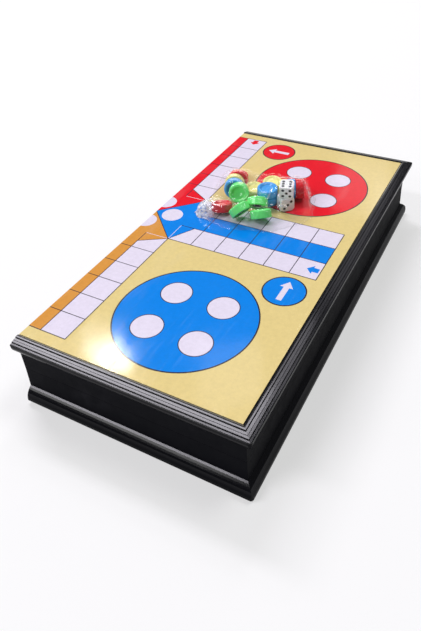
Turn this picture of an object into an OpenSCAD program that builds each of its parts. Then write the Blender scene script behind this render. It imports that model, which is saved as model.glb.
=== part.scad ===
// Folding magnetic ludo board, shut, with its bag of counters and dice lying on the upper face.
// Frame: +Z up, X across the case with the fold edge at -X, Y along the case, origin at the bottom centre.

/* [Board] */
// Side of one printed track cell
cell = 19.2; // [17:0.1:21]
// Plain printed margin outside the three-row arms
margin = 9; // [6:0.5:12]
// Width of the printed outlines
line_w = 0.6; // [0.4:0.1:1]
// Width of the dark rings around the printed discs
ring_w = 0.9; // [0.6:0.1:1.2]

/* [Case] */
// Height of the shut case
case_h = 54; // [50:1:64]
// Reach of the stepped frame beyond the board
rim_w = 8; // [7:0.5:10]
// Drop at the first and the last riser of the stepped frame
step_h = 0.8; // [0.6:0.05:0.9]
// Drop at the low riser between them
mid_step_h = 0.25; // [0.2:0.05:0.4]
// Depth of the whole frame flange, with the round that leads to the wall
flange_t = 11.5; // [10:0.5:13]
// Thickness of the tray walls
wall_t = 2.2; // [2:0.1:3]
// Thickness of the panel behind the board
panel_t = 2; // [1.6:0.1:3]

/* [Hinge] */
// Distance of each hinge from the middle of the fold
hinge_y = 96; // [60:1:120]
// Length of one hinge knuckle
knuckle_l = 12; // [8:1:18]
// Radius of a hinge knuckle
knuckle_r = 3; // [2.6:0.1:3.6]
// Radius of the hinge pins
pin_r = 1.1; // [0.8:0.1:1.4]

/* [Counters and dice] */
// Diameter of a counter
counter_d = 16; // [14:0.5:16]
// Height of a counter
counter_h = 6.5; // [5.5:0.1:6.5]
// Side of a die
die_s = 10.5; // [9:0.5:10.5]

/* [Bag] */
// Height of the film over the counters and dice that it lies on
film_over = 1.3; // [1.2:0.1:1.6]
// Fall of the film beside a counter or die, for each millimetre outwards
film_fall = 0.9; // [0.7:0.1:1.2]
// Height of the gathered end of the bag
gather_h = 5; // [3:0.5:8]

/* [Hidden] */
$fn = 48;

// Board and sheets, in depth from the frame's lip
board_half = 7.5 * cell + margin;
ink_t = 0.05;
print_t = 0.25;
steel_t = 0.5;
print_set_back = 0.4;
ink_d = print_set_back + ink_t;
print_d = ink_d + print_t;
recess_d = print_d + steel_t;
sheet_gap = 0.15;
groove_w = 0.5;

// Frame, flange and wall, measured outwards from the board's edge
lip_w = 2.7;
lip_in_w = 0.8;
lip_in_d = 0.36;
lip_flat_w = 0.7;
lip_fall = 0.06;
DROPS = [0, step_h, step_h + mid_step_h, 2 * step_h + mid_step_h];
step_n = len(DROPS) - 1;
step_w = (rim_w - lip_w) / step_n;
tread_drop = 0.1;
riser_run = 0.12;
edge_r = 0.3;
flange_r = 0.5;
corner_r = 2.5;
wall_o = 2.8;
wall_draft = 0.3;
side_h = 3;
round_turn = 60;
round_n = 8;
wall_in = wall_o - wall_t;
panel_d = recess_d + panel_t;
arc_n = 5;

// Parting line: a shouldered lip on the lower tray sits in a rebate in the upper one
part_gap = 0.2;
mouth_d = case_h / 2 - part_gap / 2;
shoulder_h = 1.5;
shoulder_t = 0.95;
fit_gap = 0.25;
snap_r = 0.45;
snap_l = 24;
snap_y = 70;
snap_clear = 0.25;

// Fold edge
fold_gap = 0.2;
fold_x = -(board_half + rim_w - knuckle_r) / 2;
axis_z = case_h / 2;
knuckle_gap = 0.3;
notch_clear = 0.35;
pin_fit = 0.02;
pin_run = 0.06;

// Ribs on the inside of each panel
rib_h = 1.2;
rib_t = 1.4;

// Counters and dice
counter_r = counter_d / 2;
dish_d = 1.5;
skirt_t = 1.4;
hollow_d = 3.4;
boss_r = 4.7;
magnet_r = 3.5;
magnet_h = 2.1;
magnet_set = 0.65;
magnet_fit = 0.05;
die_round = 0.7;
pip_r = 1.15;
pip_d = 0.4;
pip_fit = 0.03;
pip_pitch = 2.7;

// Bag: a thin film drawn over the pieces, clear of the board, with the pieces resting on its floor
film_t = 0.3;
film_rise = 0.45;
film_gap = 0.3;
bag_x = 68;
bag_y = 38;
bag_turn = 25;
bag_floor = film_t + 0.1;
seal_h = 1;
seal_share = 0.985;
edge_fall = 4;
touch_n = 12;
touch_r = 2.7;
bag_rings = 16;
edge_n = 4;
BAG_MID = [0, 6];
GATHER_AT = [-41, -9];
// Sealed edge of the bag as it lies on the board
BAG_EDGE = [[45, -12], [46, 12], [39, 33], [22, 46], [-8, 50], [-26, 48], [-34, 22], [-37, 2],
            [-45, -4], [-46, -11], [-40, -18], [-24, -30], [0, -35.5], [16, -35], [34, -26]];

// Each counter: along the bag, across it, lift off the floor, lean and turn
RED_AT = [[-14.7, 25.8, 0, 80, 0], [-25.8, -9.5, 0, -16, 0], [34.9, 10.9, 0, 90, 90],
          [-14.5, 38.7, 0, 0, 0]];
BLUE_AT = [[-17, 12.2, 0, 80, 0], [9.4, 4.5, 6.9, 4, 0], [9.8, 4.9, 0, 0, 0], [28.2, 10.9, 0, 90, 90]];
YELLOW_AT = [[-17, 19, 0, 80, 0], [-1, 17.1, 0, 5, 0], [13.6, 25.7, 0, 7, -8], [21.5, 10.9, 0, 90, 90]];
GREEN_AT = [[-13, 5.4, 0, 80, 0], [1.6, -9.2, 0, -48, -4], [-11.8, -19.1, 0, -50, 44],
            [4.4, -23, 0, -30, 13]];
// Each die: along the bag, across it, lift off the floor, roll and turn; the rear one tips on the front one
DICE_AT = [[23.3, -3.8, 0, 90, -72], [24.2, -4, 11.4, 190, -7]];
// Corner rule for pip patterns: which of the seven pip places each count fills
PIP_PLACES = [[-1, -1], [-1, 0], [-1, 1], [0, 0], [1, -1], [1, 0], [1, 1]];
PIP_SETS = [[3], [0, 6], [0, 3, 6], [0, 2, 4, 6], [0, 2, 3, 4, 6], [0, 1, 2, 4, 5, 6]];

CASE_BLACK = [0.07, 0.07, 0.075];
STEEL_GREY = [0.62, 0.63, 0.65];
MAGNET_GREY = [0.2, 0.2, 0.21];
PAPER_YELLOW = [0.92, 0.85, 0.57];
INK_WHITE = [0.9, 0.87, 0.94];
INK_BLUE = [0.04, 0.52, 0.91];
INK_RED = [0.89, 0.13, 0.18];
INK_GREEN = [0.1, 0.6, 0.25];
INK_ORANGE = [0.91, 0.63, 0.25];
INK_LINE = [0.2, 0.18, 0.24];
RED = [0.75, 0.12, 0.12];
BLUE = [0.1, 0.35, 0.8];
YELLOW = [0.95, 0.8, 0.25];
GREEN = [0.1, 0.5, 0.3];
DIE_WHITE = [0.95, 0.95, 0.93];
FILM_CLEAR = [0.85, 0.87, 0.9, 0.3];

COUNTER_NAMES = [for (c = ["red", "blue", "yellow", "green"]) for (i = [1:4]) str(c, "_counter_", i)];

function arc(x, y, r, from, to) =
    [for (i = [0:arc_n]) let (a = from + (to - from) * i / arc_n) [x + r * cos(a), y + r * sin(a)]];

// Places a child drawn from the fold line, with its face at z = 0, as the lower or the upper half
module as_lower() { translate([fold_x, 0, 0]) children(); }
module as_upper() { translate([fold_x, 0, case_h]) mirror([0, 0, 1]) children(); }

// Section of one side: board recess, lip, ridges, flange, round, wall and mouth
function step_edge(k) = lip_w + k * step_w;
function ridge_r(k) = min(edge_r, 0.8 * (DROPS[k + 1] - DROPS[k] - tread_drop));
function ridge_d(k) = DROPS[k] + (k > 0 ? tread_drop : lip_fall);
function ridge_points() = [for (k = [0:step_n - 1]) each concat(
    arc(step_edge(k) - ridge_r(k), ridge_d(k) + ridge_r(k), ridge_r(k), -90, 0),
    [[step_edge(k) + riser_run, DROPS[k + 1]]]
)];
function round_points() = [for (i = [0:round_n]) let (a = round_turn * i / round_n)
    [rim_w - (rim_w - wall_o) * (1 - cos(a)) / (1 - cos(round_turn)),
     side_h + (flange_t - side_h) * sin(a) / sin(round_turn)]];
function mouth_points(shouldered) = shouldered
    ? [[wall_o - wall_draft, mouth_d], [wall_in + shoulder_t, mouth_d],
       [wall_in + shoulder_t, mouth_d + shoulder_h], [wall_in, mouth_d + shoulder_h]]
    : [[wall_o - wall_draft, mouth_d], [wall_in + shoulder_t + fit_gap, mouth_d],
       [wall_in + shoulder_t + fit_gap, mouth_d - shoulder_h - fit_gap],
       [wall_in, mouth_d - shoulder_h - fit_gap]];
function side_points(shouldered) = concat(
    [[-2, panel_d], [-2, recess_d], [0, recess_d], [0, lip_in_d], [lip_in_w, 0], [lip_in_w + lip_flat_w, 0]],
    ridge_points(),
    arc(rim_w - flange_r, DROPS[step_n] + tread_drop + flange_r, flange_r, -90, 0),
    round_points(),
    mouth_points(shouldered),
    [[wall_in, panel_d]]
);

module side_bar(shouldered) {
    rotate([90, 0, 0])
        linear_extrude(4 * board_half, center = true)
            polygon(side_points(shouldered));
}

// The three framed sides, mitred at the two corners and cut flat at the fold
module framed_sides(shouldered) {
    far = 2 * board_half;
    wedges = [[-90, [[fold_gap, 0], [far, -far], [fold_gap, -far]]],
              [0, [[0, 0], [far, -far], [far, far]]],
              [90, [[fold_gap, 0], [fold_gap, far], [far, far]]]];
    for (w = wedges) {
        intersection() {
            rotate([0, 0, w[0]]) translate([board_half, 0, 0]) side_bar(shouldered);
            translate([0, 0, -1]) linear_extrude(case_h) polygon(w[1]);
        }
    }
}

module corner_round(side) {
    reach = board_half + rim_w - corner_r;
    translate([reach, side * reach, -1]) {
        difference() {
            translate([0, side < 0 ? -2 * corner_r : 0, 0]) cube([2 * corner_r, 2 * corner_r, flange_t + 2]);
            translate([0, 0, -1]) cylinder(r = corner_r, h = flange_t + 4);
        }
    }
}

module panel_and_fold_wall() {
    panel_y = board_half + wall_in + 0.5;
    wall_y = board_half + wall_in + shoulder_t + fit_gap + 0.3;
    translate([fold_gap, -panel_y, recess_d]) cube([board_half + wall_in, 2 * panel_y, panel_t]);
    translate([fold_gap, -wall_y, recess_d]) cube([wall_t, 2 * wall_y, mouth_d - recess_d]);
}

module panel_ribs() {
    inner_x = fold_gap + wall_t;
    span_x = board_half + wall_in - inner_x;
    span_y = 2 * (board_half + wall_in);
    translate([0, 0, panel_d - 0.2]) {
        for (k = [1:2]) {
            translate([inner_x + k * span_x / 3 - rib_t / 2, -span_y / 2, 0])
                cube([rib_t, span_y, rib_h + 0.2]);
        }
        for (k = [1:5]) {
            translate([inner_x, (k - 3) * span_y / 6 - rib_t / 2, 0]) cube([span_x, rib_t, rib_h + 0.2]);
        }
    }
}

// Hinge: the lower half carries the outer knuckles of each hinge and the upper half the middle one
LOWER_KNUCKLES = [for (s = [-1, 1]) for (k = [-1, 1]) s * hinge_y + k * (knuckle_l + knuckle_gap)];
UPPER_KNUCKLES = [for (s = [-1, 1]) s * hinge_y];
module axis_rods(places, r, l) {
    for (y = places) {
        translate([0, y, axis_z]) rotate([90, 0, 0]) cylinder(r = r, h = l, center = true);
    }
}

module snap_beads(r) {
    for (s = [-1, 1]) {
        translate([board_half + wall_in + shoulder_t - 0.15, s * snap_y, mouth_d + shoulder_h / 2])
            rotate([90, 0, 0]) cylinder(r = r, h = snap_l + 2 * (r - snap_r), center = true);
    }
}

// Stops the lower tray's shoulder short of the fold wall of the upper tray
module shoulder_relief() {
    reach = board_half + rim_w;
    translate([-1, -reach, mouth_d]) cube([1 + fold_gap + wall_t + fit_gap, 2 * reach, shoulder_h + 1]);
}

module tray(shouldered) {
    difference() {
        union() {
            framed_sides(shouldered);
            panel_and_fold_wall();
            panel_ribs();
        }
        for (side = [-1, 1]) corner_round(side);
    }
}

module lower_shell() {
    color(CASE_BLACK) as_lower() {
        difference() {
            union() {
                difference() {
                    tray(true);
                    axis_rods(UPPER_KNUCKLES, knuckle_r + notch_clear, knuckle_l + 2 * knuckle_gap);
                    shoulder_relief();
                }
                axis_rods(LOWER_KNUCKLES, knuckle_r, knuckle_l);
                snap_beads(snap_r);
            }
            axis_rods(LOWER_KNUCKLES, pin_r + pin_fit, knuckle_l + 1);
        }
    }
}

module upper_shell() {
    color(CASE_BLACK) as_upper() {
        difference() {
            union() {
                difference() {
                    tray(false);
                    axis_rods(LOWER_KNUCKLES, knuckle_r + notch_clear, knuckle_l + 2 * knuckle_gap);
                    translate([0, 0, case_h]) mirror([0, 0, 1]) snap_beads(snap_r + snap_clear);
                }
                axis_rods(UPPER_KNUCKLES, knuckle_r, knuckle_l);
            }
            axis_rods(UPPER_KNUCKLES, pin_r + pin_run, knuckle_l + 1);
        }
    }
}

module hinge_pin(side) {
    color(STEEL_GREY) as_lower()
        axis_rods([side * hinge_y], pin_r, 3 * knuckle_l + 2 * knuckle_gap);
}

// Steel plate and printed sheet set in the recess of a half, with a fine groove around them
module board_sheet(top_d, t) {
    in_x = fold_gap + sheet_gap;
    in_y = board_half - groove_w;
    translate([in_x, -in_y, top_d]) cube([board_half - groove_w - in_x, 2 * in_y, t]);
}

// Board print, drawn for the arm that points along +X, in cells from the middle of the board
half_line = line_w / cell / 2;
ring_t = ring_w / cell;
arm_end = 7.5;
slant_in = 1.5;
slant_run = 0.6;
slant_k = sqrt(1 + slant_run * slant_run);
fine_w = 0.022;
home_x = 0.76;
home_r = 0.43;
base_at = [4.4, -5];
base_r = 2.365;
spot_r = 0.53;
spot_at = 0.9;
start_at = [6.75, -2.48];
start_r = 0.725;
arrow_at = [7.23, -1];

// Where the slanted end of the track stands at a given distance from the arm's middle line
function slant_x(y) = slant_in + slant_run * (slant_in - abs(y));

module track_cells() {
    a = half_line;
    for (side = [-1, 1]) {
        polygon([[slant_x(1.5 - a) + slant_k * a, side * (1.5 - a)], [2.5 - a, side * (1.5 - a)],
                 [2.5 - a, side * (0.5 + a)], [slant_x(0.5 + a) + slant_k * a, side * (0.5 + a)]]);
        for (k = [3:7]) {
            translate([k, side]) square(1 - 2 * a, center = true);
        }
    }
}

// Beside the home triangle two slanted wedges: a fine white line parts them from it, a dark one from the run
module home_edge() {
    for (side = [-1, 1]) {
        translate([slant_in, side * 0.99]) square([fine_w, 0.94], center = true);
    }
}
module wedge_line() {
    for (side = [-1, 1]) {
        translate([slant_in + fine_w / 2, side * 0.5 - half_line]) square([slant_run, 2 * half_line]);
    }
}

module home_run_area() {
    a = half_line;
    top = slant_in - (slant_k + sqrt(2)) * a / (1 + slant_run);
    half = [[top + sqrt(2) * a, top], [slant_x(0.5 - a) - slant_k * a, 0.5 - a], [2.5 - a, 0.5 - a]];
    difference() {
        polygon(concat([[sqrt(2) * a, 0]], half, [for (k = [2:-1:0]) [half[k][0], -half[k][1]]]));
        home_edge();
        wedge_line();
    }
    for (k = [3:7]) {
        translate([k, 0]) square(1 - 2 * a, center = true);
    }
}

module spots(r) {
    for (i = [-1, 1]) {
        for (j = [-1, 1]) {
            translate(base_at + spot_at * [i, j]) circle(r);
        }
    }
}

// Glyph that stands for the way in: a short arrow
module entry_arrow() {
    translate(arrow_at)
        polygon([[-0.25, 0], [-0.02, 0.24], [-0.02, 0.12], [0.2, 0.12],
                 [0.2, -0.12], [-0.02, -0.12], [-0.02, -0.24]]);
}
module start_mark() {
    translate(start_at) polygon([[-0.24, 0.2], [0, 0.52], [0.24, 0.2], [0.1, 0.2], [0.1, -0.5],
                                 [-0.1, -0.5], [-0.1, 0.2]]);
}

module colour_area() {
    difference() {
        home_run_area();
        translate([home_x, 0]) circle(home_r);
    }
    difference() {
        translate(base_at) circle(base_r);
        spots(spot_r + 2 * half_line);
    }
    difference() {
        translate(start_at) circle(start_r);
        start_mark();
    }
    entry_arrow();
}

module white_area() {
    difference() {
        track_cells();
        entry_arrow();
    }
    translate([home_x, 0]) circle(home_r);
    spots(spot_r);
    start_mark();
    home_edge();
}

module ring(r, t) {
    difference() {
        circle(r + t);
        circle(r);
    }
}

module line_area() {
    a = half_line;
    difference() {
        polygon([[0, 0], [1.5, -1.5], [1.5 + a, -1.5 - a], [arm_end + a, -1.5 - a],
                 [arm_end + a, 1.5 + a], [1.5 + a, 1.5 + a], [1.5, 1.5]]);
        track_cells();
        home_run_area();
        home_edge();
    }
    translate(base_at) ring(base_r, ring_t);
    spot_rings();
    translate(start_at) ring(start_r, ring_t);
}
module spot_rings() {
    difference() {
        spots(spot_r + 2 * half_line);
        spots(spot_r);
    }
}

// One half of the board's print as an ink layer: its right half on the upper board, its left on the lower
module ink_layer(upper, quarters) {
    in_x = fold_gap + sheet_gap;
    clip_x = board_half - groove_w - in_x;
    translate([0, 0, print_set_back]) {
        linear_extrude(ink_t) {
            intersection() {
                mirror([upper ? 0 : 1, 0]) {
                    for (q = quarters) rotate(90 * q) scale(cell) children();
                }
                translate([in_x, -board_half]) square([clip_x, 2 * board_half]);
            }
        }
    }
}

// Counter: a dished cap with a hollow skirt and a boss that holds its magnet
module counter_body() {
    rim_r = 1.2;
    rotate_extrude()
        polygon(concat(
            [[0, magnet_set + magnet_h + magnet_fit], [0, counter_h - dish_d]],
            [[counter_r - 3.4, counter_h - dish_d], [counter_r - 2.2, counter_h - 0.3]],
            [[counter_r - 1.7, counter_h]],
            arc(counter_r - rim_r, counter_h - rim_r, rim_r, 90, 0),
            [[counter_r, 0.4], [counter_r - 0.4, 0], [counter_r - skirt_t, 0]],
            [[counter_r - skirt_t - 0.2, hollow_d], [boss_r + 0.2, hollow_d], [boss_r, magnet_set]],
            [[magnet_r + magnet_fit, magnet_set],
             [magnet_r + magnet_fit, magnet_set + magnet_h + magnet_fit]]
        ));
}
module counter_magnet() {
    translate([0, 0, magnet_set]) cylinder(r = magnet_r, h = magnet_h);
}

// Die with pockets for its pips; the faces count one to six, opposite faces adding to seven
module on_die_faces() {
    turns = [[0, 0, 0], [90, 0, 0], [0, 90, 0], [0, -90, 0], [-90, 0, 0], [180, 0, 0]];
    for (f = [0:5]) {
        rotate(turns[f]) translate([0, 0, die_s / 2]) {
            for (p = PIP_SETS[f]) translate(pip_pitch * PIP_PLACES[p]) children();
        }
    }
}
module die_body() {
    difference() {
        intersection() {
            cube(die_s, center = true);
            sphere(r = die_s * 0.5 * sqrt(2) + die_round, $fn = 64);
        }
        on_die_faces() translate([0, 0, -pip_d]) cylinder(r = pip_r, h = 2 * pip_d);
    }
}
module die_pips() {
    on_die_faces() translate([0, 0, -pip_d]) cylinder(r = pip_r - pip_fit, h = pip_d - 0.1);
}

// Places in the bag, drawn over the bag's own middle line
module in_bag() {
    translate([fold_x + bag_x, bag_y, case_h - print_set_back + film_gap])
        rotate([0, 0, bag_turn]) children();
}
function counter_rest(p) =
    [p[0], p[1], bag_floor + p[2] + counter_r * abs(sin(p[3])) + counter_h / 2 * abs(cos(p[3]))];
function die_rest(p) = [p[0], p[1], bag_floor + p[2] + die_s / 2];
module at_counter(p) {
    in_bag() translate(counter_rest(p)) rotate([p[3], 0, p[4]]) translate([0, 0, -counter_h / 2]) children();
}
module at_die(p) {
    in_bag() translate(die_rest(p)) rotate([p[3], 0, p[4]]) children();
}

// Points where the film can touch: the rims and upper faces of the counters, the dice and the gathered end
function leaned(v, a) = [v[0], v[1] * cos(a) - v[2] * sin(a), v[1] * sin(a) + v[2] * cos(a)];
function turned(v, a) = [v[0] * cos(a) - v[1] * sin(a), v[0] * sin(a) + v[1] * cos(a), v[2]];
function placed(v, p) = turned(leaned(v, p[3]), p[4]);
function around(r, n, z) = [for (k = [0:n - 1]) [r * cos(360 * k / n), r * sin(360 * k / n), z]];
COUNTER_TOUCH = concat(
    around(counter_r, touch_n, -counter_h / 2),
    around(counter_r, touch_n, counter_h / 2),
    around(counter_r / 2, touch_n / 2, counter_h / 2)
);
DIE_TOUCH = [for (x = [-1:1]) for (y = [-1:1]) for (z = [-1:1]) die_s / 2 * [x, y, z]];
FILM_TOUCH = concat(
    [for (p = concat(RED_AT, BLUE_AT, YELLOW_AT, GREEN_AT)) for (v = COUNTER_TOUCH)
        counter_rest(p) + placed(v, p)],
    [for (p = DICE_AT) for (v = DIE_TOUCH) die_rest(p) + placed(v, p)],
    [[GATHER_AT[0], GATHER_AT[1], gather_h]]
);

// Film: at each place the highest of the slopes that fall away from the points that it touches
function film_over_pieces(q) = max([for (c = FILM_TOUCH)
    c[2] + film_over - film_fall * max(0, norm([c[0], c[1]] - q) - touch_r)]);
function film_point(e, share) = let (
    q = BAG_MID + share * (e - BAG_MID),
    edge_h = seal_h + edge_fall * (1 - share) * norm(e - BAG_MID)
) [q[0], q[1], min(max(seal_h, film_over_pieces(q)), edge_h)];

// A smooth closed curve through the points of the sealed edge
function edge_curve(t) = let (
    n = len(BAG_EDGE),
    k = floor(t),
    s = t - k,
    a = BAG_EDGE[(k + n - 1) % n],
    b = BAG_EDGE[k % n],
    c = BAG_EDGE[(k + 1) % n],
    d = BAG_EDGE[(k + 2) % n]
) b + (c - a) * s / 2 + (2 * a - 5 * b + 4 * c - d) * s * s / 2 + (3 * b - a - 3 * c + d) * s * s * s / 2;

// One skin of the bag: rings of film points over a flat floor, closed at the outermost ring
module film_skin(rings, floor_z, drop) {
    sides = len(rings[0]);
    last = len(rings) - 1;
    crown = len(rings) * sides;
    points = concat(
        [for (i = [0:last]) for (p = rings[i]) [p[0], p[1], i == 0 ? floor_z : p[2] - drop]],
        [[BAG_MID[0], BAG_MID[1], film_over_pieces(BAG_MID) - drop], [BAG_MID[0], BAG_MID[1], floor_z]]
    );
    slopes = [for (i = [0:last - 1]) for (k = [0:sides - 1])
        let (a = i * sides + k, b = i * sides + (k + 1) % sides) each
            [[a, a + sides, b + sides], [a, b + sides, b]]];
    caps = [for (k = [0:sides - 1]) let (n = (k + 1) % sides) each
        [[last * sides + k, crown, last * sides + n], [n, crown + 1, k]]];
    polyhedron(points, concat(slopes, caps));
}

module counter_bag() {
    shares = concat([1], [for (i = [0:bag_rings - 1]) seal_share * (1 - i / bag_rings)]);
    rings = [for (share = shares)
        [for (k = [0:edge_n * len(BAG_EDGE) - 1]) film_point(edge_curve(k / edge_n), share)]];
    color(FILM_CLEAR) in_bag() {
        difference() {
            film_skin(rings, 0, 0);
            film_skin([for (i = [1:bag_rings]) rings[i]], film_t, film_rise);
        }
    }
}

lower_shell();
upper_shell();
color(STEEL_GREY) as_lower() board_sheet(print_d, steel_t);  // lower_steel_sheet
color(STEEL_GREY) as_upper() board_sheet(print_d, steel_t);  // upper_steel_sheet
color(PAPER_YELLOW) as_lower() board_sheet(ink_d, print_t);  // lower_print_sheet
color(PAPER_YELLOW) as_upper() board_sheet(ink_d, print_t);  // upper_print_sheet

color(INK_WHITE) as_lower() ink_layer(false, [1, 2, 3]) white_area();  // lower_ink_white
color(INK_GREEN) as_lower() ink_layer(false, [2]) colour_area();  // lower_ink_green
color(INK_ORANGE) as_lower() ink_layer(false, [3]) colour_area();  // lower_ink_orange
color(INK_RED) as_lower() ink_layer(false, [1]) colour_area();  // lower_ink_red
color(INK_LINE) as_lower() ink_layer(false, [1, 2, 3]) line_area();  // lower_ink_line
color(INK_WHITE) as_upper() ink_layer(true, [0, 1, 3]) white_area();  // upper_ink_white
color(INK_BLUE) as_upper() ink_layer(true, [0]) colour_area();  // upper_ink_blue
color(INK_RED) as_upper() ink_layer(true, [1]) colour_area();  // upper_ink_red
color(INK_ORANGE) as_upper() ink_layer(true, [3]) colour_area();  // upper_ink_orange
color(INK_LINE) as_upper() ink_layer(true, [0, 1, 3]) line_area();  // upper_ink_line

hinge_pin(-1);  // near_hinge_pin
hinge_pin(1);  // far_hinge_pin

for (i = [0:3]) {
    color(RED) at_counter(RED_AT[i]) counter_body();
    color(BLUE) at_counter(BLUE_AT[i]) counter_body();
    color(YELLOW) at_counter(YELLOW_AT[i]) counter_body();
    color(GREEN) at_counter(GREEN_AT[i]) counter_body();
    color(MAGNET_GREY) at_counter(RED_AT[i]) counter_magnet();  // red_counter_magnets
    color(MAGNET_GREY) at_counter(BLUE_AT[i]) counter_magnet();  // blue_counter_magnets
    color(MAGNET_GREY) at_counter(YELLOW_AT[i]) counter_magnet();  // yellow_counter_magnets
    color(MAGNET_GREY) at_counter(GREEN_AT[i]) counter_magnet();  // green_counter_magnets
}

color(DIE_WHITE) at_die(DICE_AT[0]) die_body();  // front_die
color(DIE_WHITE) at_die(DICE_AT[1]) die_body();  // rear_die
color(CASE_BLACK) at_die(DICE_AT[0]) die_pips();  // front_die_pips
color(CASE_BLACK) at_die(DICE_AT[1]) die_pips();  // rear_die_pips
counter_bag();
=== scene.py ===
import math

import bmesh
import bpy
import numpy as np
from mathutils import Matrix, Vector, noise
from mathutils.bvhtree import BVHTree


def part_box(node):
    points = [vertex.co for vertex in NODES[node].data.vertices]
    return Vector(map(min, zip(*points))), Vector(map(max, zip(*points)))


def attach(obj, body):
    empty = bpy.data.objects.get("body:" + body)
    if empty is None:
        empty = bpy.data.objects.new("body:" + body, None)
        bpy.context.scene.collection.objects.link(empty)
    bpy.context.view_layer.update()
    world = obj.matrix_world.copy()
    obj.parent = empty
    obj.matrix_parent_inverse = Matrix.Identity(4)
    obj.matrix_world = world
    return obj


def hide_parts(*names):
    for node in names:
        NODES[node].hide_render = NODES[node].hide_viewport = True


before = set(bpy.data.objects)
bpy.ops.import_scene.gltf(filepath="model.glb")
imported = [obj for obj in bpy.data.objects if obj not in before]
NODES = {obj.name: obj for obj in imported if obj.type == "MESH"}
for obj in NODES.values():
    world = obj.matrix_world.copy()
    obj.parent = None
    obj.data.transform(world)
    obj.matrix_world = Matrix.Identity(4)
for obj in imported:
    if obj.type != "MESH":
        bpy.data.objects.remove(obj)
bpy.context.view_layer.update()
MM = 0.001

# Camera, found from the printed cells of the board
CAMERA_AT = (0.1692, -0.3285, 0.3094)
CAMERA_AZIMUTH = 29.1
CAMERA_ELEVATION = 34.75
CAMERA_ROLL = -2.64
CAMERA_LENS = 34.86
CAMERA_SHIFT = (-0.0317, -0.1268)

# Colours of the object's own finishes, and of a painted sheen, as linear values
CASE_BLACK = (0.0042, 0.0044, 0.0064)
CASE_SCUFF = (0.010, 0.010, 0.013)
# painted sheen: a lighter grey that stands for the light and sheen the trays catch inside
TRAY_PAINTED_SHEEN = (0.020, 0.020, 0.022)
PRINT_YELLOW = (0.795, 0.640, 0.262)
INK_COLOURS = {
    "white": (0.800, 0.745, 0.872),
    "blue": (0.001, 0.240, 0.820),
    "red": (0.840, 0.008, 0.022),
    "green": (0.020, 0.360, 0.060),
    "orange": (0.720, 0.320, 0.058),
    "line": (0.030, 0.026, 0.045),
}
COUNTER_COLOURS = {
    "red": (0.760, 0.008, 0.020),
    "blue": (0.055, 0.400, 0.900),
    "yellow": (0.950, 0.880, 0.300),
    "green": (0.170, 0.960, 0.230),
}
STREAK_WHITE = (0.900, 0.900, 0.900)
DIE_WHITE = (0.910, 0.900, 0.900)
PIP_BLACK = (0.012, 0.012, 0.014)
MAGNET_GREY = (0.045, 0.045, 0.048)
STEEL_GREY = (0.560, 0.565, 0.580)
FLOOR_WHITE = (0.930, 0.930, 0.925)

# Inside of the trays, out to the middle of their walls, where a lighter grey is painted as the
# light and sheen they catch:
# centre across, then half width, half length and half height
TRAY_CENTRE = -0.0010
TRAY_HALF = (0.0767, 0.1546, 0.0240)

# Heights from the case's middle between which its finish changes
MATT_WALL_END = (0.0145, 0.0155)
LEDGE_START = (0.0153, 0.0156)
LEDGE_FADE = (0.0165, 0.0215)
RIDGES_START = (0.0244, 0.0248)
POLISH = 0.52

# Bag: its middle on the board, its turn, and the outline that the film takes there,
# in millimetres
BAG_AT = (-11.0, 38.0)
BAG_TURN = 25.0
BAG_OUTLINE = [(45, -12), (46, 12), (39, 33), (22, 46), (-8, 50), (-26, 48), (-34, 22), (-37, 2),
               (-45, -4), (-46, -11), (-40, -18), (-24, -30), (0, -35.5), (16, -35), (34, -26)]
BAG_MIDDLE = (0.0, 6.0)
BAG_KNOT = (-41.0, -9.0)
KNOT_REACH = 9.0
GRID_STEP = 1.0
GRID_HALF = 56
FILM_CLEAR = 0.45
FILM_FLOOR = 0.35
FILM_THICK = 0.1
FILM_TURNS = 300
FILM_RINGS = 84
SMOOTHING_PASSES = 8
RAY_START = 60.0
# Single folds of the film: points along each, half width, rise, and milkiness that paints a glint
# along the fold
FILM_FOLDS = [
    ([(30.7, 21.1), (38.7, 4.5), (42.4, -5.0), (43.0, -15.0)], 1.2, 1.2, 0.22),
    ([(37.7, 1.0), (40.0, -5.7), (41.2, -13.0)], 1.4, 0.6, 0.50),
    ([(12.5, -7.0), (10.5, -14.1), (8.2, -17.0)], 0.7, 0.8, 0.55),
    ([(19.0, -22.4), (22.5, -23.8)], 1.0, 0.8, 0.65),
]


def smooth_step(low, high, x):
    t = np.clip((x - low) / (high - low), 0.0, 1.0)
    return t * t * (3.0 - 2.0 * t)


# Materials

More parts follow.
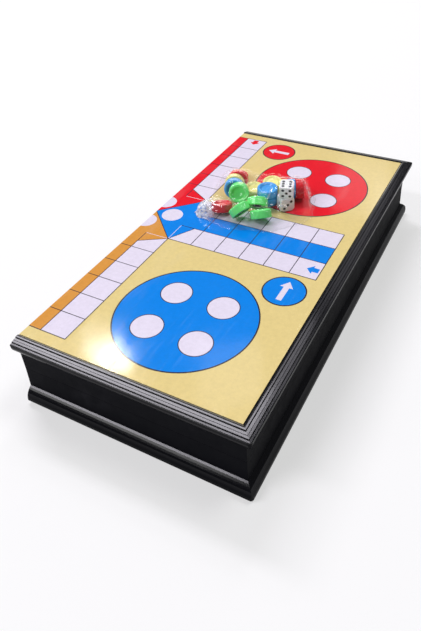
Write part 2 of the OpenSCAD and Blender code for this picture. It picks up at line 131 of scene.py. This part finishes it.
class Finish:
    """One procedural material: a Principled shader on Object coordinates,
    with short calls for its nodes."""

    def __init__(self, name, colour, roughness, **sockets):
        self.material = bpy.data.materials.new(name)
        self.material.use_nodes = True
        self.tree = self.material.node_tree
        self.shader = self.tree.nodes["Principled BSDF"]
        self.shader.inputs["Base Color"].default_value = (*colour, 1.0)
        self.shader.inputs["Roughness"].default_value = roughness
        for socket, value in sockets.items():
            self.shader.inputs[socket.replace("_", " ")].default_value = value
        self.place = self.tree.nodes.new("ShaderNodeTexCoord").outputs["Object"]

    def node(self, kind, **settings):
        made = self.tree.nodes.new(kind)
        for key, value in settings.items():
            setattr(made, key, value)
        return made

    def link(self, source, target):
        self.tree.links.new(source, target)

    def noise(self, scale, detail=3.0, roughness=0.55, stretch=None):
        tex = self.node("ShaderNodeTexNoise")
        tex.inputs["Scale"].default_value = scale
        tex.inputs["Detail"].default_value = detail
        tex.inputs["Roughness"].default_value = roughness
        place = self.place
        if stretch is not None:
            mapping = self.node("ShaderNodeMapping")
            mapping.inputs["Scale"].default_value = stretch
            self.link(place, mapping.inputs["Vector"])
            place = mapping.outputs["Vector"]
        self.link(place, tex.inputs["Vector"])
        return tex.outputs["Fac"]

    def ranged(self, value, low, high, to_low, to_high):
        span = self.node("ShaderNodeMapRange")
        ends = {"From Min": low, "From Max": high, "To Min": to_low, "To Max": to_high}
        for key, number in ends.items():
            span.inputs[key].default_value = number
        self.link(value, span.inputs["Value"])
        return span.outputs["Result"]

    def math(self, operation, first, second):
        made = self.node("ShaderNodeMath", operation=operation)
        for slot, value in zip(made.inputs, (first, second)):
            if isinstance(value, (int, float)):
                slot.default_value = value
            else:
                self.link(value, slot)
        return made.outputs["Value"]

    def mixed(self, factor, first, second):
        mix = self.node("ShaderNodeMix", data_type="RGBA")
        self.link(factor, mix.inputs["Factor"])
        for key, value in (("A", first), ("B", second)):
            socket = [s for s in mix.inputs if s.name == key and s.type == "RGBA"][0]
            if isinstance(value, tuple):
                socket.default_value = (*value, 1.0)
            else:
                self.link(value, socket)
        return [s for s in mix.outputs if s.type == "RGBA"][0]

    def bump(self, height, strength, distance, after=None):
        made = self.node("ShaderNodeBump")
        made.inputs["Strength"].default_value = strength
        made.inputs["Distance"].default_value = distance
        self.link(height, made.inputs["Height"])
        if after is not None:
            self.link(after, made.inputs["Normal"])
        return made.outputs["Normal"]

    def set(self, socket, value):
        self.link(value, self.shader.inputs[socket])


def tinted(colour, factor):
    return tuple(min(1.0, c * factor) for c in colour)


def moulded_case():
    """Black injection-moulded plastic: matt walls, polished ridges and rounds, rubbed patches,
    and inside the trays a lighter grey, painted as the light and sheen they catch."""
    f = Finish("moulded_case", CASE_BLACK, 0.2, Specular_IOR_Level=0.03, Coat_Roughness=0.13)
    rubbed = f.ranged(f.noise(55.0, 4.0, 0.65), 0.56, 0.80, 0.0, 1.0)
    spot = f.node("ShaderNodeSeparateXYZ")
    f.link(f.place, spot.inputs["Vector"])
    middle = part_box("upper_shell")[1].z / 2
    from_middle = f.math("ABSOLUTE", f.math("SUBTRACT", spot.outputs["Z"], middle), 0.0)
    from_centre = f.math("ABSOLUTE", f.math("SUBTRACT", spot.outputs["X"], TRAY_CENTRE), 0.0)
    from_half_way = f.math("ABSOLUTE", spot.outputs["Y"], 0.0)
    reaches = (from_centre, from_half_way, from_middle)
    within = [f.math("LESS_THAN", reach, half) for reach, half in zip(reaches, TRAY_HALF)]
    # painted sheen: inside the trays the black gives way to a lighter grey, for the light it
    # catches there
    painted_sheen_in_tray = f.math("MULTIPLY", f.math("MULTIPLY", within[0], within[1]), within[2])
    f.set("Base Color", f.mixed(painted_sheen_in_tray, f.mixed(rubbed, CASE_BLACK, CASE_SCUFF), TRAY_PAINTED_SHEEN))
    matt_walls = f.ranged(from_middle, *MATT_WALL_END, 0.40, 0.0)
    skin = f.ranged(f.noise(140.0, 4.0), 0.3, 0.7, 0.15, 0.24)
    f.set("Roughness", f.math("ADD", skin, matt_walls))
    below = f.math("SUBTRACT", middle, spot.outputs["Z"])
    ledge = f.math("MULTIPLY", f.ranged(below, *LEDGE_START, 0.0, 1.0),
                   f.ranged(below, *LEDGE_FADE, 1.0, 0.0))
    polished = f.math("ADD", ledge, f.ranged(from_middle, *RIDGES_START, 0.0, 1.0))
    f.set("Coat Weight", f.math("MULTIPLY", polished, POLISH))
    grain = f.bump(f.noise(2600.0, 2.0), 0.012, 0.0001)
    waves = f.bump(f.noise(38.0, 1.0), 0.10, 0.0006, grain)
    f.set("Normal", waves)
    f.set("Coat Normal", waves)
    return f.material


def laminated(name, colour, mottle=0.05):
    """Ink under a glossy laminate: slight paper mottle, paler streaks, soft ripples
    and hair scratches."""
    f = Finish(name, colour, 0.2)
    ink = f.mixed(f.ranged(f.noise(420.0, 5.0, 0.7), 0.32, 0.68, 0.0, 1.0),
                  tinted(colour, 1.0 - mottle), tinted(colour, 1.0 + mottle))
    # paler streaks: up to six per cent of white mixed into the ink along stretched noise
    pale_streaks = f.ranged(f.noise(48.0, 4.0, 0.6, stretch=(1.0, 0.28, 1.0)), 0.58, 0.78, 0.0, 0.06)
    f.set("Base Color", f.mixed(pale_streaks, ink, STREAK_WHITE))
    scratch = f.ranged(f.noise(900.0, 2.0, stretch=(1.0, 0.04, 1.0)), 0.55, 0.75, 0.0, 0.10)
    f.set("Roughness", f.math("ADD", f.ranged(f.noise(30.0, 3.0), 0.3, 0.7, 0.07, 0.12), scratch))
    ripples = f.bump(f.noise(26.0, 2.0, stretch=(1.0, 0.45, 1.0)), 0.25, 0.0011)
    f.set("Normal", f.bump(f.noise(700.0, 2.0), 0.05, 0.0002, ripples))
    return f.material


def sheet_steel(name):
    """Thin cold-rolled steel, drawn along its length."""
    f = Finish(name, STEEL_GREY, 0.3, Metallic=1.0)
    drawn = f.noise(900.0, 3.0, stretch=(1.0, 0.03, 1.0))
    f.set("Roughness", f.ranged(drawn, 0.3, 0.7, 0.24, 0.42))
    f.set("Base Color", f.mixed(f.noise(60.0, 4.0), tinted(STEEL_GREY, 0.85), STEEL_GREY))
    return f.material


def counter_plastic(name, colour):
    """Bright glossy moulded plastic with faint flow marks."""
    f = Finish(name, colour, 0.24, Subsurface_Weight=0.06, Subsurface_Scale=0.002)
    f.shader.inputs["Subsurface Radius"].default_value = (1.0, 0.6, 0.4)
    f.set("Base Color", f.mixed(f.ranged(f.noise(260.0, 3.0), 0.3, 0.7, 0.0, 1.0),
                                tinted(colour, 0.88), tinted(colour, 1.08)))
    f.set("Roughness", f.ranged(f.noise(500.0, 3.0), 0.3, 0.7, 0.18, 0.32))
    f.set("Normal", f.bump(f.noise(900.0, 2.0), 0.08, 0.0002))
    return f.material


def dice_plastic():
    """Ivory-white moulded plastic."""
    f = Finish("dice_plastic", DIE_WHITE, 0.26, Subsurface_Weight=0.1, Subsurface_Scale=0.002)
    f.set("Base Color", f.mixed(f.noise(300.0, 3.0), tinted(DIE_WHITE, 0.94), DIE_WHITE))
    f.set("Roughness", f.ranged(f.noise(500.0, 3.0), 0.3, 0.7, 0.2, 0.34))
    return f.material


def pip_paint():
    """Black paint in the hollows of the dice."""
    f = Finish("pip_paint", PIP_BLACK, 0.4)
    f.set("Roughness", f.ranged(f.noise(1500.0, 2.0), 0.3, 0.7, 0.3, 0.5))
    return f.material


def ferrite():
    """Dark sintered magnet."""
    f = Finish("ferrite", MAGNET_GREY, 0.55, Metallic=0.4)
    f.set("Base Color", f.mixed(f.noise(1200.0, 4.0),
                                tinted(MAGNET_GREY, 0.7), tinted(MAGNET_GREY, 1.3)))
    f.set("Roughness", f.ranged(f.noise(800.0, 3.0), 0.3, 0.7, 0.45, 0.7))
    return f.material


def bag_film():
    """Clear thin film: nearly all light passes, more is mirrored edge-on. Where the film is bunched
    it turns milky, with white facets and dark gaps painted as their highlights and shade, and
    single folds carry a painted glint."""
    f = Finish("bag_film", (0.95, 0.97, 0.99), 0.1)
    edge_on = f.node("ShaderNodeLayerWeight")
    edge_on.inputs["Blend"].default_value = 0.2
    milk_and_glints = f.node("ShaderNodeAttribute", attribute_name="milk_and_glints").outputs["Fac"]
    clear = f.ranged(edge_on.outputs["Facing"], 0.0, 1.0, 0.014, 0.18)
    # milkiness where the film is bunched: partly the film's own whiteness, partly painted
    # highlights and shade on its facets, and painted glints along single folds
    milk_and_painted_glints = f.math("MULTIPLY", milk_and_glints, f.ranged(f.noise(330.0, 2.0), 0.42, 0.56, 0.20, 0.95))
    f.set("Alpha", f.math("ADD", clear, milk_and_painted_glints))
    f.set("Metallic", f.ranged(milk_and_glints, 0.0, 1.0, 0.72, 0.10))
    f.set("Roughness", f.ranged(f.noise(400.0, 3.0), 0.3, 0.7, 0.035, 0.11))
    fine = f.bump(f.noise(520.0, 3.0, 0.6), 0.35, 0.0004)
    f.set("Normal", f.bump(f.noise(160.0, 3.0, 0.6), 0.5, 0.0012, fine))
    return f.material


def floor_paint():
    """White floor. To the camera and in mirroring surfaces half of it is plain white,
    the rest keeps the shadow."""
    f = Finish("floor_paint", FLOOR_WHITE, 0.85, Specular_IOR_Level=0.1)
    f.set("Base Color", f.mixed(f.noise(6.0, 2.0), tinted(FLOOR_WHITE, 0.995), FLOOR_WHITE))
    path = f.node("ShaderNodeLightPath").outputs
    seen = f.math("MAXIMUM", f.math("MAXIMUM", path["Is Camera Ray"], path["Is Glossy Ray"]),
                  path["Is Transmission Ray"])
    white = f.node("ShaderNodeEmission")
    both = f.node("ShaderNodeMixShader")
    f.link(f.math("MULTIPLY", seen, 0.5), both.inputs[0])
    f.link(f.shader.outputs[0], both.inputs[1])
    f.link(white.outputs[0], both.inputs[2])
    f.link(both.outputs[0], f.tree.nodes["Material Output"].inputs["Surface"])
    return f.material


def dress(node, material):
    slots = NODES[node].data.materials
    slots.clear()
    slots.append(material)


def dress_all():
    """Give every CAD node that stays in view the finish that its name calls for."""
    case = moulded_case()
    inks = {name: laminated("laminated_" + name, colour) for name, colour in INK_COLOURS.items()}
    ground = laminated("laminated_yellow", PRINT_YELLOW)
    steel = sheet_steel("sheet_steel")
    counters = {name: counter_plastic(name + "_counter_plastic", colour)
                for name, colour in COUNTER_COLOURS.items()}
    plain = {"shell": case, "print_sheet": ground, "steel_sheet": steel, "hinge_pin": steel,
             "die_pips": pip_paint(), "die": dice_plastic(), "counter_magnets": ferrite()}
    for node in NODES:
        words = node.split("_")
        if "ink" in words:
            dress(node, inks[words[-1]])
        elif words[1] == "counter" and words[-1] != "magnets":
            dress(node, counters[words[0]])
        elif node != "counter_bag":
            ending = [key for key in plain if node.endswith(key)]
            dress(node, plain[ending[0]])


# Bag of clear film, drawn taut over the counters and dice, gathered at its left end

def bag_matrix():
    board_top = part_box("upper_ink_white")[1].z
    return Matrix.Translation((BAG_AT[0] * MM, BAG_AT[1] * MM, board_top)) @ \
        Matrix.Rotation(math.radians(BAG_TURN), 4, "Z")


def ray_tree(nodes, to_bag):
    """Some of the nodes as one tree for rays, in the bag's own millimetres."""
    verts = []
    faces = []
    for node in nodes:
        start = len(verts)
        verts += [(to_bag @ v.co) / MM for v in NODES[node].data.vertices]
        faces += [[start + i for i in p.vertices] for p in NODES[node].data.polygons]
    return BVHTree.FromPolygons(verts, faces)


def closed_curve(points, count):
    """A smooth closed curve through given points, at equal steps of the angle
    about the middle."""
    pts = np.array(points, float)
    n = len(pts)
    t = np.linspace(0, n, 40 * n, endpoint=False)
    k = np.floor(t).astype(int)
    s = (t - k)[:, None]
    p0, p1, p2, p3 = (pts[(k + d) % n] for d in (-1, 0, 1, 2))
    curve = 0.5 * (2 * p1 + (p2 - p0) * s + (2 * p0 - 5 * p1 + 4 * p2 - p3) * s ** 2
                   + (3 * p1 - p0 - 3 * p2 + p3) * s ** 3)
    angle = np.arctan2(curve[:, 1] - BAG_MIDDLE[1], curve[:, 0] - BAG_MIDDLE[0])
    reach = np.hypot(curve[:, 0] - BAG_MIDDLE[0], curve[:, 1] - BAG_MIDDLE[1])
    order = np.argsort(angle)
    wanted = np.linspace(-np.pi, np.pi, count, endpoint=False)
    return wanted, np.interp(wanted, angle[order], reach[order], period=2 * np.pi)


def heights_from_above(tree, side, clear):
    heights = np.full((len(side), len(side)), FILM_FLOOR)
    for i, u in enumerate(side):
        for j, w in enumerate(side):
            hit = tree.ray_cast(Vector((u, w, RAY_START)), Vector((0, 0, -1)))
            if hit[0] is not None:
                heights[i, j] = hit[0].z + clear
    return heights


def film_heights(to_bag):
    """Height of the upper film on a square grid: the modelled film, smoothed,
    and kept off the pieces under it."""
    side = np.arange(-GRID_HALF, GRID_HALF + 1) * GRID_STEP
    pieces = [n for n in NODES
              if "_counter_" in n and not n.endswith("magnets") or n.endswith("_die")]
    under = heights_from_above(ray_tree(pieces, to_bag), side, FILM_CLEAR)
    film = heights_from_above(ray_tree(["counter_bag"], to_bag), side, 0.0)
    for axis in (0, 1):
        under = np.maximum(under, np.maximum(np.roll(under, 1, axis), np.roll(under, -1, axis)))
    for _ in range(SMOOTHING_PASSES):
        mean = (np.roll(film, 1, 0) + np.roll(film, -1, 0)
                + np.roll(film, 1, 1) + np.roll(film, -1, 1)) / 4
        film = np.maximum(under, mean)
    return side, film, under


def on_grid(side, values, u, w):
    x = np.clip((u - side[0]) / GRID_STEP, 0, len(side) - 1.001)
    y = np.clip((w - side[0]) / GRID_STEP, 0, len(side) - 1.001)
    i, j = x.astype(int), y.astype(int)
    s, t = x - i, y - j
    return ((1 - s) * (1 - t) * values[i, j] + s * (1 - t) * values[i + 1, j]
            + (1 - s) * t * values[i, j + 1] + s * t * values[i + 1, j + 1])


def crease(u, w, size, offset):
    """Sharp-ridged folds: the distance between the two nearest of scattered points,
    in cells of a given size."""
    heights = np.zeros(u.shape)
    for k in np.ndindex(u.shape):
        near = noise.voronoi(Vector((u[k] / size + offset, w[k] / size - offset, 0.37 * offset)))[0]
        heights[k] = near[1] - near[0]
    return heights


def off_fold(u, w, points):
    """Distance of each point of the film from the line of one fold."""
    nearest = np.full(u.shape, 1000.0)
    for (ax, ay), (bx, by) in zip(points, points[1:]):
        along = (u - ax) * (bx - ax) + (w - ay) * (by - ay)
        t = np.clip(along / ((bx - ax) ** 2 + (by - ay) ** 2), 0.0, 1.0)
        nearest = np.minimum(nearest, np.hypot(u - ax - t * (bx - ax), w - ay - t * (by - ay)))
    return nearest


def film_mesh():
    """Upper and lower sheet of the bag, joined at the sealed rim."""
    turns, rings = FILM_TURNS, FILM_RINGS
    angle, reach = closed_curve(BAG_OUTLINE, turns)
    rim_wave = 1.0 + 0.018 * np.sin(9 * angle + 1.0) + 0.012 * np.sin(23 * angle)
    to_world = bag_matrix()
    side, film, under_film = film_heights(to_world.inverted())
    rho = np.sqrt(np.linspace(0.0004, 1.0, rings))[:, None]
    u = BAG_MIDDLE[0] + rho * (reach * rim_wave * np.cos(angle))[None, :]
    w = BAG_MIDDLE[1] + rho * (reach * rim_wave * np.sin(angle))[None, :]
    knot = np.hypot(u - BAG_KNOT[0], w - BAG_KNOT[1])
    knot_turn = np.arctan2(w - BAG_KNOT[1], u - BAG_KNOT[0])
    bunch = np.exp(-(knot / KNOT_REACH) ** 2)
    base = on_grid(side, under_film, u, w)
    draped = on_grid(side, film, u, w)
    loose = smooth_step(0.2, 3.0, draped - base)
    fold = 0.9 * crease(u, w, 13.0, 3.1) + 0.45 * crease(u, w, 5.5, 8.7)
    pleat = (np.abs(np.sin(7.0 * knot_turn + 0.25 * knot))
             + 0.5 * np.abs(np.sin(17.0 * knot_turn - 0.4 * knot)))
    crumple = 1.3 * pleat + 2.6 * crease(u, w, 3.6, 5.3)
    upper = draped + (0.2 + 0.9 * loose) * fold + bunch * crumple
    # knot: partly the bunched film's own whiteness, partly painted highlights on its facets
    knot_milk_and_glints = 1.5 * bunch
    # milkiness along single folds: painted glints
    fold_painted_glints = np.zeros(u.shape)
    for points, width, rise, milk_and_glint_level in FILM_FOLDS:
        ridge = np.exp(-(off_fold(u, w, points) / width) ** 2)
        upper = upper + rise * ridge
        fold_painted_glints += milk_and_glint_level * ridge
    rim = smooth_step(1.0, 0.95, rho)
    rim_ripple = 0.35 * (1 - rim) * (1 + np.sin(31 * angle))[None, :]
    upper = FILM_FLOOR + (upper - FILM_FLOOR) * rim + rim_ripple
    upper = np.maximum(upper, base)
    lower = np.full(u.shape, FILM_FLOOR - FILM_THICK)
    mesh = bpy.data.meshes.new("counter_bag_film")
    bm = bmesh.new()
    milk_and_glints = bm.verts.layers.float.new("milk_and_glints")

    def sheet(heights, milk_and_glint_level):
        grid = []
        for i in range(rings):
            spots = [Vector((u[i, k], w[i, k], heights[i, k])) for k in range(turns)]
            row = [bm.verts.new(to_world @ (spot * MM)) for spot in spots]
            for k, vert in enumerate(row):
                vert[milk_and_glints] = float(min(1.0, milk_and_glint_level[i, k] + 0.08 * (1 - rim[i, 0])))
            grid.append(row)
        return grid

    top, under = sheet(upper, knot_milk_and_glints + fold_painted_glints), sheet(lower, knot_milk_and_glints)
    for i in range(rings - 1):
        for k in range(turns):
            n = (k + 1) % turns
            bm.faces.new((top[i][k], top[i + 1][k], top[i + 1][n], top[i][n]))
            bm.faces.new((under[i][n], under[i + 1][n], under[i + 1][k], under[i][k]))
    for k in range(turns):
        n = (k + 1) % turns
        bm.faces.new((top[-1][k], under[-1][k], under[-1][n], top[-1][n]))
    bm.faces.new([top[0][k] for k in range(turns)])
    bm.faces.new([under[0][k] for k in reversed(range(turns))])
    bmesh.ops.recalc_face_normals(bm, faces=bm.faces)
    bm.to_mesh(mesh)
    bm.free()
    mesh.shade_smooth()
    return mesh


def clear_bag():
    film = bpy.data.objects.new("clear_bag_film", film_mesh())
    bpy.context.scene.collection.objects.link(film)
    film.data.materials.append(bag_film())
    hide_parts("counter_bag")
    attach(film, "bag_of_pieces")


# Stage: floor, light and camera

COOL = (0.95, 0.92, 1.0)
WARM = (1.0, 0.90, 0.70)
PLAIN = (1.0, 1.0, 1.0)
WORLD_LEVEL = 0.12
LAMP_AIM = (0.0, -0.02, 0.03)
LAMP_DISTANCE = 3.0
# Lamps: name, direction from the board, size in metres, roll in degrees, watts and tint
LAMPS = [
    ("window", (-0.461, 0.360, 0.812), (0.40, 1.55), 44.7, 36.0, COOL),
    ("lamp", (-0.520, 0.469, 0.714), (0.18, 0.16), 0.0, 2.4, PLAIN),
    ("door", (-0.172, 0.520, 0.837), (0.25, 0.30), 0.0, 4.4, COOL),
    ("door_foot", (-0.148, 0.622, 0.769), (0.30, 0.50), 0.0, 2.2, COOL),
    ("door_end", (-0.115, 0.800, 0.589), (0.30, 0.80), 0.0, 0.9, COOL),
    ("front_window", (-0.438, -0.502, 0.746), (1.35, 0.36), 32.9, 29.0, COOL),
    ("front_wall", (-0.455, -0.730, 0.510), (1.30, 0.75), 0.0, 14.0, PLAIN),
    ("back_wall", (-0.250, 0.930, 0.270), (1.50, 0.50), 0.0, 5.0, PLAIN),
    ("back_low", (-0.450, 0.885, 0.100), (1.60, 0.50), 0.0, 10.0, WARM),
    ("far_glow", (-0.200, 0.850, 0.490), (0.25, 0.30), 0.0, 0.2, PLAIN),
    ("near_glow", (-0.330, 0.560, 0.760), (0.35, 0.35), 0.0, 0.45, PLAIN),
    ("ceiling", (0.300, 0.250, 0.920), (1.0, 1.0), 0.0, 24.0, PLAIN),
]


def studio_floor():
    mesh = bpy.data.meshes.new("studio_floor")
    reach, drop = 6.0, -0.0002
    corners = [(-reach, -reach), (reach, -reach), (reach, reach), (-reach, reach)]
    mesh.from_pydata([(x, y, drop) for x, y in corners], [], [(0, 1, 2, 3)])
    floor = bpy.data.objects.new("studio_floor", mesh)
    bpy.context.scene.collection.objects.link(floor)
    mesh.materials.append(floor_paint())


def soft_light(name, direction, size, roll, power, tint):
    data = bpy.data.lights.new(name, "AREA")
    data.shape = "RECTANGLE"
    data.size, data.size_y = size
    data.energy = power
    data.color = tint
    lamp = bpy.data.objects.new(name, data)
    away = Vector(direction).normalized()
    lamp.location = Vector(LAMP_AIM) + away * LAMP_DISTANCE
    lamp.rotation_euler = (away.to_track_quat("Z", "Y").to_matrix() @
                           Matrix.Rotation(math.radians(roll), 3, "Z")).to_euler()
    bpy.context.scene.collection.objects.link(lamp)


def studio_light():
    world = bpy.data.worlds.new("studio_world")
    world.use_nodes = True
    sky = world.node_tree.nodes["Background"].inputs
    sky["Color"].default_value = (*PLAIN, 1.0)
    sky["Strength"].default_value = WORLD_LEVEL
    bpy.context.scene.world = world
    for lamp in LAMPS:
        soft_light(*lamp)


def photo_camera():
    data = bpy.data.cameras.new("photo_camera")
    data.sensor_fit = "AUTO"
    data.sensor_width = 36.0
    data.lens = CAMERA_LENS
    data.shift_x, data.shift_y = CAMERA_SHIFT
    camera = bpy.data.objects.new("photo_camera", data)
    turn = Matrix.Rotation(math.radians(CAMERA_AZIMUTH), 4, "Z") @ \
        Matrix.Rotation(math.radians(90.0 - CAMERA_ELEVATION), 4, "X") @ \
        Matrix.Rotation(math.radians(CAMERA_ROLL), 4, "Z")
    camera.matrix_world = Matrix.Translation(CAMERA_AT) @ turn
    bpy.context.scene.collection.objects.link(camera)
    bpy.context.scene.camera = camera


bpy.context.scene.view_settings.view_transform = "Standard"
photo_camera()
studio_floor()
studio_light()
dress_all()
clear_bag()
